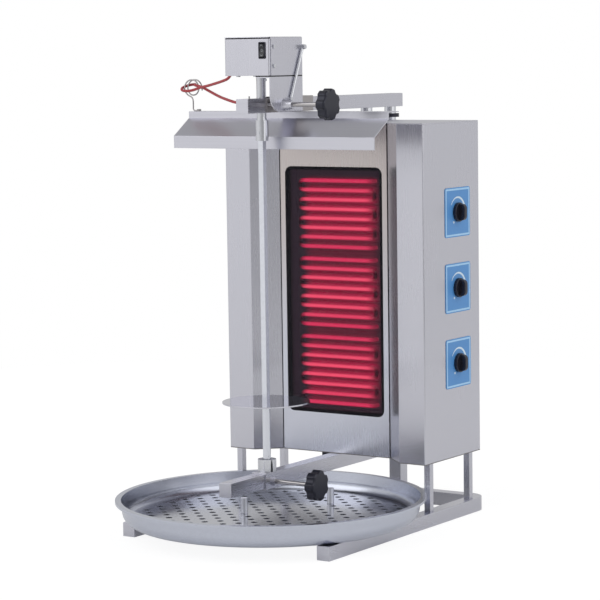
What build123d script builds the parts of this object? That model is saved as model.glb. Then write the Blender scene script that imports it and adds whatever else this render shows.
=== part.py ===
"""Electric doner kebab grill: a heater cabinet on a runner base, a driven vertical spit and a drip tray."""
from build123d import *
from math import cos, radians, sin, sqrt, tan
import os

# Driving dimensions in millimetres. X is the grill's right, Y its rear, Z up, and the floor is Z 0.
# The origin lies on the floor, in the middle of the grill's width and depth.

# Stock
SHEET = 1.5
TUBE = 25.0
TUBE_WALL = 2.0
TUBE_CAP = 2.0
TUBE_CAP_DROP = 0.4
RUNNING_GAP = 0.05

# Cabinet
CABINET_WIDTH = 429.0
CABINET_FRONT_Y = 93.0
CABINET_DEPTH = 200.0
CABINET_HEIGHT = 614.0
FRONT_FLAT = 54.8
PANEL_WIDTH = 236.0
PANEL_RECESS = 37.5
PANEL_SEAM = 2.0
SHELL_BEND_R = 2.5
REAR_COVER_WIDTH = 220.0
REAR_COVER_DEPTH = 72.0
REAR_COVER_DROP = 5.0
VENT_LENGTH = 70.0
VENT_WIDTH = 5.0
VENT_PITCH = 14.0
VENT_COUNT = 6

# Base
RUNNER_MARGIN = 4.5
RUNNER_REACH = 149.0
BASE_REAR_MARGIN = 23.5
BASE_BEND_R = 36.0
CORNER_POST = 12.0
CORNER_POST_WALL = 1.5
CORNER_POST_HEIGHT = 88.0
CORNER_POST_INSET_X = 8.5
CORNER_POST_INSET_Y = 28.5

# Heater
GLASS_WIDTH = 210.0
GLASS_HEIGHT = 457.0
GLASS_CORNER_R = 13.0
GLASS_THICKNESS = 4.0
GLASS_PROUD = 0.5
GLASS_GAP = 0.5
GLASS_CENTRE_HEIGHT = 303.5
SEAL_THICKNESS = 6.0
HEATER_POCKET_WIDTH = 196.0
HEATER_POCKET_HEIGHT = 446.0
HEATER_POCKET_DEPTH = 18.0
INSULATION_BACK = 20.0
HEATER_BOX_GAP = 0.2
HEATER_BOX_MARGIN = 8.0
ZONE_PITCH = 145.8
ZONE_DROP = 4.2
RUN_COUNT = 8
RUN_PITCH = 17.5
RUN_HALF_LENGTH = 81.2
TERMINAL_INSET = 6.0
ELEMENT_R = 3.6
ELEMENT_BEND_R = 6.5
ELEMENT_DEPTH = 4.5

# Controls on the right side
LABEL_WIDTH = 90.0
LABEL_THICKNESS = 1.0
LABEL_CORNER_R = 5.0
LABEL_Y = 214.0
LABEL_MIDDLE_HEIGHT = 311.5
LABEL_PITCH = 138.0
SPINDLE_R = 3.0
SPINDLE_HOLE_R = 5.0
REGULATOR_SIZE = 44.0
REGULATOR_DEPTH = 30.0
REGULATOR_BORE = 20.0
KNOB_SKIRT_R = 17.5
KNOB_SKIRT = 6.0
KNOB_HEIGHT = 17.0
KNOB_BAR_WIDTH = 10.0
KNOB_BAR_LENGTH = 30.0
KNOB_BORE = 9.0
KNOB_GAP = 0.5
KNOB_EDGE_R = 1.5
KNOB_CROWN_R = 8.0

# Wiring points on the bottom plate
GLAND_X = -30.0
GLAND_INSET_Y = 50.0
GLAND_R = 8.0
GLAND_NECK_R = 6.0
GLAND_LENGTH = 11.0
GLAND_NUT = 4.5
TERMINAL_BLOCK = (60.0, 22.0, 25.0)
TERMINAL_BLOCK_X = 60.0

# Spit, its drive and its foot
SPIT_TO_PANEL = 228.0
SPIT_SQUARE = 10.0
SPIT_FOOT_R = 7.0
SPIT_FOOT_LENGTH = 100.5
SPIT_PIVOT_R = 5.0
SPIT_FOOT_GAP = 1.0
SPIT_TOP_GAP = 2.0
SHAFT_R = 8.5
COUPLING_R = 11.5
COUPLING_LENGTH = 36.0
COUPLING_SEAT = 15.0
COUPLING_SLOT_WIDTH = 5.0
COUPLING_SLOT_HEIGHT = 17.0
SHAFT_BELOW_ARM = 13.0
GRUB_R = 2.3
DISC_R = 78.0
DISC_THICKNESS = 2.5
DISC_ABOVE_FOOT = 0.5
DISC_CLEARANCE = 0.1
CUP_R = 16.5
CUP_HEIGHT = 21.5
CUP_FLOOR = 5.0
BEARING_HEIGHT = 4.0

# Arms
UPPER_ARM_CLEARANCE = 24.0
UPPER_ARM_NOSE = 59.5
UPPER_ARM_TAIL_MARGIN = 4.0
LOWER_ARM_NOSE = 130.0
ARM_POST_R = 11.0
ARM_POST_SPACING = 85.0
REAR_POST_INSET = 29.5
COLLAR_R = 17.0
COLLAR_HEIGHT = 7.0
COLLAR_LIFT = 4.0
SLOT_SIDE_GAP = 1.0
CARRIAGE_FORWARD = 40.0
CARRIAGE_BACK = 12.0

# Hood
HOOD_WIDTH = 427.0
HOOD_LIP_BEHIND_SPIT = 29.0
HOOD_LIP_DROP = 65.0
HOOD_LIP_HEIGHT = 22.0
HOOD_SLOPE_DEPTH = 47.5
HOOD_FLANGE = 12.0
HOOD_RETURN = 35.0
HOOD_BOLT_R = 3.0
HOOD_BOLT_HEAD_R = 5.0
HOOD_BOLT_HEAD = 3.5
HOOD_BOLT_PITCH = 16.0
STOP_PIN_R = 1.3
STOP_PIN_HEIGHT = 5.0
STOP_PIN_INSET = 7.0

# Motor carriage
MOTOR_BOX_WIDTH = 97.0
MOTOR_BOX_DEPTH = 101.0
MOTOR_BOX_HEIGHT = 67.0
MOTOR_BOX_NOSE = 43.0
MOTOR_BOX_LIFT = 40.0
MOTOR_PAD = 2.0
BRACKET_SHEET = 2.0
BRACKET_FLANGE = 30.0
CHEEK_CLEARANCE = 2.0
CHEEK_CORNER_R = 30.0
FRONT_BEND_R = 3.0
FRONT_FLANGE = 14.0
COVER_SETBACK = 4.0
COVER_BEND_R = 2.5
LID_GAP = 2.0
SADDLE_WALL = 2.4
SADDLE_GAP = 0.1
SADDLE_RIGHT_FRONT = 4.5
SADDLE_TOP_BEHIND = 11.5
SADDLE_LEFT_BEHIND = 37.5
SADDLE_REAR = 142.5
SADDLE_SKIRT_GAP = 0.6
SPACER_R = 8.0
SPACER_BEHIND = (28.0, 52.0)
BOSS_R = 10.5
BOSS_LENGTH = 18.0
CLAMP_ABOVE_ARM_BASE = 14.5
STAY_R = 2.5
STAY_FOOT = (15.5, 7.5)
STAY_OUT = 3.0
STAY_LUG = 2.8
STAY_EYE_R = 4.5
GEARBOX_SIZE = (62.0, 50.0, 27.0)
MOTOR_R = 27.0
MOTOR_HEIGHT = 30.0
SCREW_HEAD_R = 3.8
SCREW_INSET = 5.0
SCREW_HEAD = 2.0
STAY_SCREW_R = 4.0
STAY_SCREW_HEAD = 3.0

# Rocker switch
SWITCH_X = 32.6
SWITCH_DROP = 23.4
SWITCH_WIDTH = 14.0
SWITCH_HEIGHT = 29.0
SWITCH_BEZEL = 1.5
SWITCH_RIM = 2.0
SWITCH_BODY_DEPTH = 17.0
ROCKER_GAP = 0.3
ROCKER_END_GAP = 1.5
ROCKER_PROUD = 1.6
ROCKER_PIVOT_DEPTH = 4.0
ROCKER_PIN_R = 1.2

# Clamp knobs
STUD_R = 4.2
STUD_TIP_GAP = 0.3
UPPER_STUD_LENGTH = 118.0
LOWER_STUD_LENGTH = 84.2
STAR_R = 27.5
STAR_THICKNESS = 17.0
STAR_LOBES = 7
STAR_SCALLOP_R = 10.0
STAR_SCALLOP_DEPTH = 3.4
STAR_LOBE_R = 3.5
STAR_EDGE_R = 4.0
STAR_HUB_R = 9.0
STAR_HUB = 5.0

# Lower sleeve
SLEEVE_WALL = 2.4
SLEEVE_GAP = 0.1
SLEEVE_LENGTH = 52.0
SLEEVE_NUT_R = 7.5
LOWER_CLAMP_DROP = 2.5
SLEEVE_NUT = 5.0

# Drip tray and perforated plate
TRAY_R = 278.0
TRAY_HEIGHT = 43.0
TRAY_POST_GAP = 4.5
TRAY_LIP = 9.0
TRAY_LIP_DROP = 3.0
TRAY_FLARE = 3.0
TRAY_CORNER_R = 25.0
PLATE_LIFT = 8.5
PLATE_EDGE_GAP = 3.0
PLATE_RING_INSET = 13.0
PLATE_MARGIN = 18.0
PLATE_HOLE_R = 5.8
PLATE_HOLE_PITCH = 39.2
PLATE_HOLE_SHIFT = (15.1, 2.5)
PEG_R = 6.3
PEG_HEIGHT = 29.0
PEGS = ((-45.5, -19.0), (38.0, 137.0))

# Cable hook and motor lead
HOOK_WIRE_R = 1.25
HOOK_X = -209.0
HOOK_STEM = 28.0
HOOK_RING_R = 14.0
HOOK_RING_SHIFT = -7.0
HOOK_RING_POINTS = 15
HOOK_POINTS_PER_TURN = 8
HOOK_RING_ADVANCE = 10.0
HOOK_SCREW_R = 4.0
LEAD_R = 2.5
LEAD_ROUTE = (
    (-48.5, -107.0, 820.0),
    (-57.0, -107.0, 820.0),
    (-66.0, -103.0, 811.0),
    (-88.0, -90.0, 806.5),
    (-120.0, -68.0, 802.0),
    (-152.0, -48.0, 797.5),
    (-178.0, -35.0, 794.5),
    (-194.0, -28.5, 790.5),
    (-210.0, -25.5, 788.0),
    (-226.0, -23.0, 788.5),
    (-237.0, -11.0, 793.0),
    (-234.0, 4.5, 798.0),
    (-221.0, 9.5, 800.0),
    (-211.5, -1.0, 799.5),
    (-203.5, -16.0, 798.5),
    (-184.0, -19.5, 795.5),
    (-158.0, -32.0, 787.5),
    (-114.0, -64.0, 778.5),
    (-72.0, -96.0, 773.0),
    (-44.0, -115.0, 769.5),
    (-26.0, -122.0, 768.5),
    (-12.5, -122.0, 768.5),
)

# Places worked out from the driving dimensions
CABINET_X = CABINET_WIDTH / 2
CABINET_REAR_Y = CABINET_FRONT_Y + CABINET_DEPTH
CABINET_BASE_Z = TUBE + CORNER_POST_HEIGHT
CABINET_TOP_Z = CABINET_BASE_Z + CABINET_HEIGHT
WALL_BASE_Z = CABINET_BASE_Z + SHEET
WALL_TOP_Z = CABINET_TOP_Z - SHEET
PANEL_X = PANEL_WIDTH / 2
PANEL_Y = CABINET_FRONT_Y + PANEL_RECESS
COVER_REAR_Y = CABINET_REAR_Y + REAR_COVER_DEPTH
COVER_TOP_Z = CABINET_TOP_Z - REAR_COVER_DROP

BASE_X = CABINET_X + RUNNER_MARGIN
BASE_REAR_Y = CABINET_REAR_Y + BASE_REAR_MARGIN
POST_X = CABINET_X - CORNER_POST_INSET_X
POST_FRONT_Y = CABINET_FRONT_Y + CORNER_POST_INSET_Y - CORNER_POST / 4
POST_REAR_Y = CABINET_REAR_Y - CORNER_POST_INSET_Y - CORNER_POST / 6
POST_INNER_X = POST_X - CORNER_POST / 2
POST_FACE_Y = POST_FRONT_Y - CORNER_POST / 2
TRAY_Y = POST_FACE_Y - sqrt((TRAY_R + TRAY_POST_GAP) ** 2 - POST_INNER_X ** 2)
BASE_FRONT_Y = TRAY_Y - RUNNER_REACH

GLASS_Z = CABINET_BASE_Z + GLASS_CENTRE_HEIGHT
GLASS_FRONT_Y = PANEL_Y - GLASS_PROUD
GLASS_BACK_Y = GLASS_FRONT_Y + GLASS_THICKNESS
INSULATION_FRONT_Y = GLASS_BACK_Y + SEAL_THICKNESS
POCKET_FLOOR_Y = INSULATION_FRONT_Y + HEATER_POCKET_DEPTH
INSULATION_REAR_Y = POCKET_FLOOR_Y + INSULATION_BACK
HEATER_X = GLASS_WIDTH / 2 + HEATER_BOX_MARGIN
HEATER_Z = GLASS_HEIGHT / 2 + HEATER_BOX_MARGIN
ELEMENT_Y = INSULATION_FRONT_Y + ELEMENT_DEPTH
ZONE_MIDDLE_Z = GLASS_Z - ZONE_DROP

LABEL_MIDDLE_Z = CABINET_BASE_Z + LABEL_MIDDLE_HEIGHT
LABEL_FACE_X = CABINET_X + LABEL_THICKNESS
KNOB_BACK_X = LABEL_FACE_X + KNOB_GAP
SHELL_INNER_X = CABINET_X - SHEET

SPIT_Y = PANEL_Y - SPIT_TO_PANEL
LOWER_ARM_Z = CABINET_BASE_Z - TUBE
UPPER_ARM_Z = CABINET_TOP_Z + UPPER_ARM_CLEARANCE
UPPER_ARM_TOP_Z = UPPER_ARM_Z + TUBE
UPPER_ARM_FRONT_Y = SPIT_Y - UPPER_ARM_NOSE
UPPER_ARM_REAR_Y = COVER_REAR_Y - UPPER_ARM_TAIL_MARGIN
LOWER_ARM_FRONT_Y = SPIT_Y - LOWER_ARM_NOSE
REAR_LEG_Y = COVER_REAR_Y - TUBE
REAR_POST_Y = COVER_REAR_Y - REAR_POST_INSET
FRONT_POST_Y = REAR_POST_Y - ARM_POST_SPACING
SLOT_HALF = SHAFT_R + SLOT_SIDE_GAP

HOOD_LIP_Y = SPIT_Y + HOOD_LIP_BEHIND_SPIT
HOOD_FLANGE_Y = HOOD_LIP_Y + HOOD_SLOPE_DEPTH
HOOD_BASE_Z = UPPER_ARM_Z - HOOD_LIP_DROP
HOOD_BOLT_Y = HOOD_FLANGE_Y + HOOD_RETURN / 2

BOX_X = MOTOR_BOX_WIDTH / 2
BOX_FRONT_Y = SPIT_Y - MOTOR_BOX_NOSE
BOX_REAR_Y = BOX_FRONT_Y + MOTOR_BOX_DEPTH
BOX_BASE_Z = UPPER_ARM_TOP_Z + MOTOR_BOX_LIFT
BOX_FLOOR_Z = BOX_BASE_Z + SHEET
BOX_TOP_Z = BOX_BASE_Z + MOTOR_BOX_HEIGHT
BRACKET_TOP_Z = BOX_BASE_Z - MOTOR_PAD
CHEEK_X = BOX_X - BRACKET_SHEET
CLAMP_Z = UPPER_ARM_Z + CLAMP_ABOVE_ARM_BASE
SADDLE_INNER_X = TUBE / 2 + SADDLE_GAP
SADDLE_OUTER_X = SADDLE_INNER_X + SADDLE_WALL

SLEEVE_INNER = TUBE / 2 + SLEEVE_GAP
SLEEVE_OUTER = SLEEVE_INNER + SLEEVE_WALL
LOWER_ARM_AXIS_Z = LOWER_ARM_Z + TUBE / 2
LOWER_CLAMP_Z = LOWER_ARM_AXIS_Z - LOWER_CLAMP_DROP
CUP_BASE_Z = LOWER_ARM_AXIS_Z + SLEEVE_OUTER
CUP_TOP_Z = CUP_BASE_Z + CUP_HEIGHT
BEARING_TOP_Z = CUP_BASE_Z + CUP_FLOOR + BEARING_HEIGHT
FOOT_TOP_Z = CUP_TOP_Z + SPIT_FOOT_LENGTH
DISC_Z = FOOT_TOP_Z + DISC_ABOVE_FOOT
COUPLING_TOP_Z = UPPER_ARM_Z - SHAFT_BELOW_ARM
COUPLING_BASE_Z = COUPLING_TOP_Z - COUPLING_LENGTH
SHAFT_BASE_Z = COUPLING_TOP_Z - COUPLING_SEAT

TRAY_RIM_Z = TUBE + TRAY_HEIGHT
TRAY_WALL_R = TRAY_R - TRAY_LIP
TRAY_CORNER_OUTER = TRAY_WALL_R - TRAY_FLARE
TRAY_FLAT_R = TRAY_CORNER_OUTER - TRAY_CORNER_R
TRAY_FLOOR_Z = TUBE + SHEET
PLATE_TOP_Z = TRAY_FLOOR_Z + PLATE_LIFT
PLATE_R = TRAY_CORNER_OUTER - PLATE_EDGE_GAP - SHEET - PLATE_LIFT


def box(x0, x1, y0, y1, z0, z1):
    """Block between two corners."""
    middle = Pos((x0 + x1) / 2, (y0 + y1) / 2, (z0 + z1) / 2)
    return middle * Box(x1 - x0, y1 - y0, z1 - z0)


def rod_x(x0, x1, y, z, r):
    """Round bar along X."""
    return Pos((x0 + x1) / 2, y, z) * Rot(0, 90, 0) * Cylinder(r, x1 - x0)


def rod_y(x, y0, y1, z, r):
    """Round bar along Y."""
    return Pos(x, (y0 + y1) / 2, z) * Rot(90, 0, 0) * Cylinder(r, y1 - y0)


def rod_z(x, y, z0, z1, r):
    """Round bar along Z."""
    return Pos(x, y, (z0 + z1) / 2) * Cylinder(r, z1 - z0)


def slab_y(sketch, y0, y1):
    """Sketch drawn in X and Z, made solid from y0 to y1."""
    return extrude(Plane.XZ.offset(-y1) * sketch, y1 - y0)


def slab_x(sketch, x0, x1):
    """Sketch drawn in Y and Z, made solid from x0 to x1."""
    return extrude(Plane.YZ.offset(x0) * sketch, x1 - x0)


def slab_z(sketch, z0, z1):
    """Sketch drawn in X and Y, made solid from z0 to z1."""
    return extrude(Plane.XY.offset(z0) * sketch, z1 - z0)


def tube_y(y0, y1, z0):
    """Square tube of the arms, centred on X 0, with its lowest face at z0."""
    half = TUBE / 2
    inner = half - TUBE_WALL
    outside = box(-half, half, y0, y1, z0, z0 + TUBE)
    return outside - box(-inner, inner, y0, y1, z0 + TUBE_WALL, z0 + TUBE - TUBE_WALL)


def swept(path, r):
    """Round wire or tube along a path."""
    start = Plane(origin=path @ 0, z_dir=path % 0)
    return sweep(start * Circle(r), path=path)


def group(pieces):
    """Several separate solids in one node."""
    return Compound([solid for piece in pieces for solid in piece.solids()])


# Base


def u_outline(half, front, rear, bend):
    """Rectangle with its two rear corners rounded."""
    shape = Pos(0, (front + rear) / 2) * Rectangle(2 * half, rear - front)
    return fillet(shape.vertices().group_by(Axis.Y)[-1], bend)


def base_frame():
    """Runners and rear cross tube, bent from one square tube."""
    front = BASE_FRONT_Y + TUBE_CAP
    outside = u_outline(BASE_X, front, BASE_REAR_Y, BASE_BEND_R)
    inside = u_outline(BASE_X - TUBE, front, BASE_REAR_Y - TUBE, BASE_BEND_R - TUBE)
    void_out = u_outline(BASE_X - TUBE_WALL, front, BASE_REAR_Y - TUBE_WALL, BASE_BEND_R - TUBE_WALL)
    core = TUBE - TUBE_WALL
    void_in = u_outline(BASE_X - core, front, BASE_REAR_Y - core, BASE_BEND_R - core)
    bar = slab_z(outside - inside, 0, TUBE)
    return bar - slab_z(void_out - void_in, TUBE_WALL, core)


def tube_caps():
    """Plates that close the open ends of the runners and the arms."""
    half = TUBE / 2
    runner = BASE_X - half
    ends = [
        (-runner, BASE_FRONT_Y, 0),
        (runner, BASE_FRONT_Y, 0),
        (0, LOWER_ARM_FRONT_Y, LOWER_ARM_Z),
        (0, UPPER_ARM_FRONT_Y, UPPER_ARM_Z),
        (0, UPPER_ARM_REAR_Y - TUBE_CAP, UPPER_ARM_Z),
    ]
    height = TUBE - TUBE_CAP_DROP
    return group([box(x - half, x + half, y, y + TUBE_CAP, z, z + height) for x, y, z in ends])


def corner_posts():
    """Four thin square posts between the runners and the cabinet."""
    half = CORNER_POST / 2
    bore = half - CORNER_POST_WALL
    posts = []
    for x in (-POST_X, POST_X):
        for y in (POST_FRONT_Y, POST_REAR_Y):
            post = box(x - half, x + half, y - half, y + half, TUBE, CABINET_BASE_Z)
            posts.append(post - box(x - bore, x + bore, y - bore, y + bore, TUBE, CABINET_BASE_Z))
    return group(posts)


def rear_leg():
    """Square leg behind the base, joined to the cross tube by a short stub."""
    half = TUBE / 2
    bore = half - TUBE_WALL
    leg = box(-half, half, REAR_LEG_Y, COVER_REAR_Y, 0, CABINET_BASE_Z)
    inner_y = (REAR_LEG_Y + TUBE_WALL, COVER_REAR_Y - TUBE_WALL)
    leg -= box(-bore, bore, *inner_y, TUBE_WALL, CABINET_BASE_Z)
    return leg + box(-half, half, BASE_REAR_Y, REAR_LEG_Y, 0, TUBE)


# Cabinet


def cabinet_outline():
    """Plan of the cabinet: front flats, inward wings and the recessed panel line."""
    flat = CABINET_X - FRONT_FLAT
    corners = [
        (-CABINET_X, CABINET_REAR_Y),
        (-CABINET_X, CABINET_FRONT_Y),
        (-flat, CABINET_FRONT_Y),
        (-PANEL_X, PANEL_Y),
        (PANEL_X, PANEL_Y),
        (flat, CABINET_FRONT_Y),
        (CABINET_X, CABINET_FRONT_Y),
        (CABINET_X, CABINET_REAR_Y),
    ]
    plan = make_face(Polyline(*corners, close=True))
    return fillet(plan.vertices().group_by(Axis.Y)[0], SHELL_BEND_R)


def cabinet_wall():
    """Thin wall all round the cabinet, before it is cut into its sheets."""
    plan = cabinet_outline()
    inside = offset(plan, -SHEET, kind=Kind.INTERSECTION)
    return slab_z(plan - inside, WALL_BASE_Z, WALL_TOP_Z)


def side_shell(side):
    """Side, front flat and wing of one sheet; side is 1 for the right and -1 for the left."""
    near, far = sorted((side * PANEL_X, side * (CABINET_X + 1)))
    shell = cabinet_wall() & box(near, far, CABINET_FRONT_Y - 1, CABINET_REAR_Y, WALL_BASE_Z, WALL_TOP_Z)
    near, far = sorted((side * PANEL_X, side * SHELL_INNER_X))
    shell -= box(near, far, CABINET_REAR_Y - SHEET, CABINET_REAR_Y, WALL_BASE_Z, WALL_TOP_Z)
    if side > 0:
        for z in label_heights():
            shell -= rod_x(SHELL_INNER_X - 1, CABINET_X + 1, LABEL_Y, z, SPINDLE_HOLE_R)
    return shell


def heater_panel():
    """Front sheet with the window for the glass."""
    half = PANEL_X - PANEL_SEAM
    panel = box(-half, half, PANEL_Y, PANEL_Y + SHEET, WALL_BASE_Z, WALL_TOP_Z)
    window = RectangleRounded(GLASS_WIDTH + 2 * GLASS_GAP, GLASS_HEIGHT + 2 * GLASS_GAP,
                              GLASS_CORNER_R + GLASS_GAP)
    return panel - slab_y(Pos(0, GLASS_Z) * window, PANEL_Y - 1, PANEL_Y + SHEET + 1)


def top_plate():
    """Flat lid over the whole plan."""
    return slab_z(cabinet_outline(), WALL_TOP_Z, CABINET_TOP_Z)


def bottom_plate():
    """Floor of the cabinet with the hole for the cable gland."""
    floor = slab_z(cabinet_outline(), CABINET_BASE_Z, WALL_BASE_Z)
    return floor - rod_z(GLAND_X, gland_y(), CABINET_BASE_Z, WALL_BASE_Z, GLAND_NECK_R + RUNNING_GAP)


def back_panel():
    """Flat back between the two side shells."""
    return box(-SHELL_INNER_X, SHELL_INNER_X, CABINET_REAR_Y - SHEET, CABINET_REAR_Y, WALL_BASE_Z, WALL_TOP_Z)


def rear_cover():
    """Box over the wiring on the back, with two columns of vents."""
    half = REAR_COVER_WIDTH / 2
    cover = box(-half, half, CABINET_REAR_Y, COVER_REAR_Y, CABINET_BASE_Z, COVER_TOP_Z)
    cover -= box(-half + SHEET, half - SHEET, CABINET_REAR_Y, COVER_REAR_Y - SHEET,
                 CABINET_BASE_Z + SHEET, COVER_TOP_Z - SHEET)
    middle = (CABINET_BASE_Z + COVER_TOP_Z) / 2
    places = GridLocations(REAR_COVER_WIDTH / 2, VENT_PITCH, 2, VENT_COUNT)
    vents = Sketch() + places * SlotOverall(VENT_LENGTH, VENT_WIDTH)
    return cover - slab_y(Pos(0, middle) * vents, COVER_REAR_Y - 2 * SHEET, COVER_REAR_Y + 1)


# Heater


def heater_glass():
    """Glass plate in the panel's window."""
    pane = RectangleRounded(GLASS_WIDTH, GLASS_HEIGHT, GLASS_CORNER_R)
    return slab_y(Pos(0, GLASS_Z) * pane, GLASS_FRONT_Y, GLASS_BACK_Y)


def pocket_outline():
    """Opening in front of the heating elements."""
    return Pos(0, GLASS_Z) * Rectangle(HEATER_POCKET_WIDTH, HEATER_POCKET_HEIGHT)


def block_outline(margin):
    """Outline of the heater's inner block, larger all round by a margin."""
    return Pos(0, GLASS_Z) * Rectangle(2 * (HEATER_X + margin), 2 * (HEATER_Z + margin))


def glass_seal():
    """Fibre frame between the glass and the insulation."""
    return slab_y(block_outline(0) - pocket_outline(), GLASS_BACK_Y, INSULATION_FRONT_Y)


def insulation_block():
    """Insulation with a pocket for the heating elements."""
    block = slab_y(block_outline(0), INSULATION_FRONT_Y, INSULATION_REAR_Y)
    return block - slab_y(pocket_outline(), INSULATION_FRONT_Y, POCKET_FLOOR_Y)


def heater_box():
    """Open sheet box that holds the insulation against the panel."""
    gap = HEATER_BOX_GAP
    shell = slab_y(block_outline(gap + SHEET), PANEL_Y + SHEET, INSULATION_REAR_Y + SHEET)
    return shell - slab_y(block_outline(gap), PANEL_Y + SHEET, INSULATION_REAR_Y)


def heating_element(zone):
    """Serpentine tube of one zone; zone is 1 at the top, 0 in the middle and -1 at the bottom."""
    middle = ZONE_MIDDLE_Z + zone * ZONE_PITCH
    heights = [middle + RUN_PITCH * ((RUN_COUNT - 1) / 2 - i) for i in range(RUN_COUNT)]
    terminal = RUN_HALF_LENGTH - TERMINAL_INSET
    points = [(terminal, POCKET_FLOOR_Y, heights[0]), (terminal, ELEMENT_Y, heights[0])]
    side = -RUN_HALF_LENGTH
    for upper, lower in zip(heights, heights[1:]):
        points += [(side, ELEMENT_Y, upper), (side, ELEMENT_Y, lower)]
        side = -side
    points += [(terminal, ELEMENT_Y, heights[-1]), (terminal, POCKET_FLOOR_Y, heights[-1])]
    path = FilletPolyline(*points, radius=ELEMENT_BEND_R)
    tube = swept(path, ELEMENT_R)
    share = tube.volume / (path.length * Circle(ELEMENT_R).area)
    print(f"heating element {zone}: volume over section times length {share:.4f},",
          f"least gap between runs {RUN_PITCH - 2 * ELEMENT_R:.2f} mm")
    return tube


# Controls and wiring points


def label_heights():
    """Heights of the three control positions, from the top."""
    return [LABEL_MIDDLE_Z + i * LABEL_PITCH for i in (1, 0, -1)]


def label_plates():
    """Three square plates behind the control knobs."""
    square = RectangleRounded(LABEL_WIDTH, LABEL_WIDTH, LABEL_CORNER_R) - Circle(SPINDLE_HOLE_R)
    return group([slab_x(Pos(LABEL_Y, z) * square, CABINET_X, LABEL_FACE_X) for z in label_heights()])


def regulator_bodies():
    """Three heat regulators behind the right side."""
    half = REGULATOR_SIZE / 2
    bodies = []
    for z in label_heights():
        body = box(SHELL_INNER_X - REGULATOR_DEPTH, SHELL_INNER_X, LABEL_Y - half, LABEL_Y + half,
                   z - half, z + half)
        bore = rod_x(SHELL_INNER_X - REGULATOR_BORE, SHELL_INNER_X, LABEL_Y, z, SPINDLE_R + RUNNING_GAP)
        bodies.append(body - bore)
    return group(bodies)


def regulator_spindle(z):
    """Spindle from a regulator to its knob."""
    return rod_x(SHELL_INNER_X - REGULATOR_BORE + 1, KNOB_BACK_X + KNOB_BORE, LABEL_Y, z, SPINDLE_R)


def control_knob(z):
    """Round skirt with a crowned grip bar across it."""
    skirt = rod_x(KNOB_BACK_X, KNOB_BACK_X + KNOB_SKIRT, LABEL_Y, z, KNOB_SKIRT_R)
    skirt = fillet(skirt.edges().sort_by(Axis.X)[-1], KNOB_EDGE_R)
    base = KNOB_BACK_X + KNOB_SKIRT
    half = KNOB_BAR_LENGTH / 2
    grip = box(base, KNOB_BACK_X + KNOB_HEIGHT, LABEL_Y - KNOB_BAR_WIDTH / 2, LABEL_Y + KNOB_BAR_WIDTH / 2,
               z - half, z + half)
    grip = fillet(grip.edges().filter_by(Axis.Y).group_by(Axis.X)[-1], KNOB_CROWN_R)
    rim = [edge for face in grip.faces().filter_by(Axis.Y) for edge in face.edges()
           if edge.center().X > base + KNOB_EDGE_R]
    knob = skirt + fillet(rim, KNOB_EDGE_R)
    return knob - rod_x(KNOB_BACK_X, KNOB_BACK_X + KNOB_BORE, LABEL_Y, z, SPINDLE_R + RUNNING_GAP)


def gland_y():
    """Depth of the cable gland in the cabinet floor."""
    return CABINET_FRONT_Y + GLAND_INSET_Y


def cable_gland():
    """Inlet gland through the cabinet floor, with its nut inside."""
    x, y = GLAND_X, gland_y()
    gland = rod_z(x, y, CABINET_BASE_Z - GLAND_LENGTH, CABINET_BASE_Z, GLAND_R)
    gland += rod_z(x, y, CABINET_BASE_Z, WALL_BASE_Z, GLAND_NECK_R)
    gland += rod_z(x, y, WALL_BASE_Z, WALL_BASE_Z + GLAND_NUT, GLAND_R)
    return gland - rod_z(x, y, CABINET_BASE_Z - GLAND_LENGTH, WALL_BASE_Z + GLAND_NUT, GLAND_NECK_R / 2)


def terminal_block():
    """Screw terminals on the cabinet floor."""
    width, depth, height = TERMINAL_BLOCK
    y = CABINET_REAR_Y - 2 * depth
    return box(TERMINAL_BLOCK_X, TERMINAL_BLOCK_X + width, y, y + depth, WALL_BASE_Z, WALL_BASE_Z + height)


# Arms, posts and hood


def lower_arm():
    """Square tube under the cabinet, from the rear leg to the front."""
    return tube_y(LOWER_ARM_FRONT_Y + TUBE_CAP, REAR_LEG_Y, LOWER_ARM_Z)


def upper_arm():
    """Square tube over the cabinet, slotted for the drive shaft and drilled for the hood bolts."""
    arm = tube_y(UPPER_ARM_FRONT_Y + TUBE_CAP, UPPER_ARM_REAR_Y - TUBE_CAP, UPPER_ARM_Z)
    front = SPIT_Y - CARRIAGE_FORWARD - SLOT_HALF
    rear = SPIT_Y + CARRIAGE_BACK + SLOT_HALF
    slot = Pos(0, (front + rear) / 2) * Rot(0, 0, 90) * SlotOverall(rear - front, 2 * SLOT_HALF)
    arm -= slab_z(slot, UPPER_ARM_Z - 1, UPPER_ARM_TOP_Z + 1)
    for y in hood_bolt_places():
        arm -= rod_z(0, y, UPPER_ARM_Z - 1, UPPER_ARM_Z + TUBE_WALL + 1, HOOD_BOLT_R + RUNNING_GAP)
    return arm


def arm_posts():
    """Two round posts that carry the upper arm."""
    return group([
        rod_z(0, FRONT_POST_Y, CABINET_TOP_Z, UPPER_ARM_Z, ARM_POST_R),
        rod_z(0, REAR_POST_Y, COVER_TOP_Z, UPPER_ARM_Z, ARM_POST_R),
    ])


def post_collars():
    """Collars round the two posts, on the cabinet's top and level with it behind."""
    collars = []
    for y, lift in ((FRONT_POST_Y, 0), (REAR_POST_Y, COLLAR_LIFT)):
        ring = rod_z(0, y, CABINET_TOP_Z + lift, CABINET_TOP_Z + lift + COLLAR_HEIGHT, COLLAR_R)
        bore = rod_z(0, y, CABINET_TOP_Z, UPPER_ARM_Z, ARM_POST_R + RUNNING_GAP)
        collars.append(ring - bore)
    return group(collars)


def hood_bolt_places():
    """Depths of the two bolts that hang the hood from the upper arm."""
    return [HOOD_BOLT_Y - HOOD_BOLT_PITCH / 2, HOOD_BOLT_Y + HOOD_BOLT_PITCH / 2]


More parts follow.
